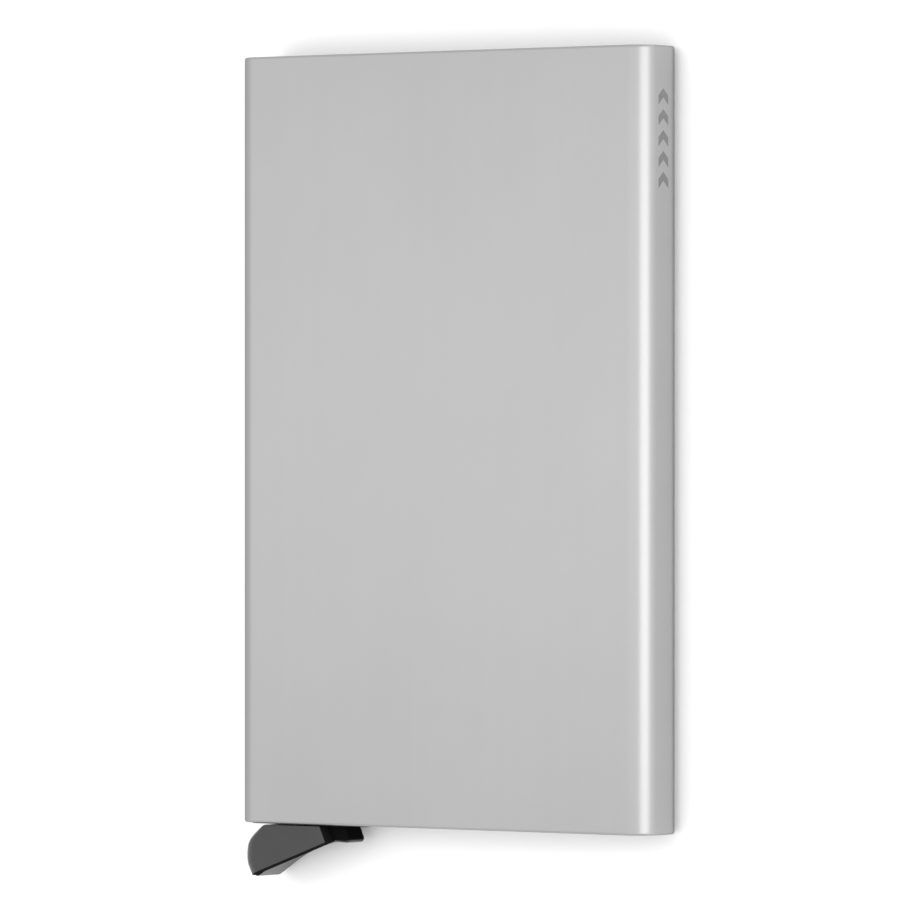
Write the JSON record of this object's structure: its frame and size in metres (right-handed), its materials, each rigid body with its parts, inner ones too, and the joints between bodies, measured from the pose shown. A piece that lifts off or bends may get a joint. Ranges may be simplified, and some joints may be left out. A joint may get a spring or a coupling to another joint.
{
  "type": "card holder",
  "caption": "Slim metal card holder with a side thumb lever at one end that pushes the cards out of the open mouth as a fan.",
  "frame": {"origin": "on the back face, below the middle of the whole object's box", "axes": "+Z through the thickness from the back face to the front face, +Y along the length towards the open mouth, +X to the right seen from the front"},
  "size_m": [0.063, 0.1023, 0.008],
  "materials": {
    "anodised_aluminium": "bead blasted, clear anodised",
    "cap_plastic": "matte black",
    "pin_steel": "ground",
    "lever_plastic": "polished black",
    "plate_plastic": "fine matte texture, dark grey",
    "washer_plastic": "natural nylon",
    "foam": "closed cell foam",
    "pile": "short pile"
  },
  "bodies": {
    "body": {"housing": "anodised_aluminium", "end_cap": "cap_plastic", "pivot_pin": "pin_steel", "foam_strip_left": "foam", "foam_strip_right": "foam", "pile_tape_left": "pile", "pile_tape_right": "pile"},
    "lever": {"lever_arm": "lever_plastic", "thumb_plate": "plate_plastic", "friction_washer_back": "washer_plastic", "friction_washer_front": "washer_plastic"}
  },
  "joints": [
    {"name": "eject_lever", "type": "hinge", "parent": "body", "child": "lever", "pos_m": [-0.015, -0.04015, 0.004], "axis": [0, 0, 1], "range_deg": [0, 40]}
  ]
}
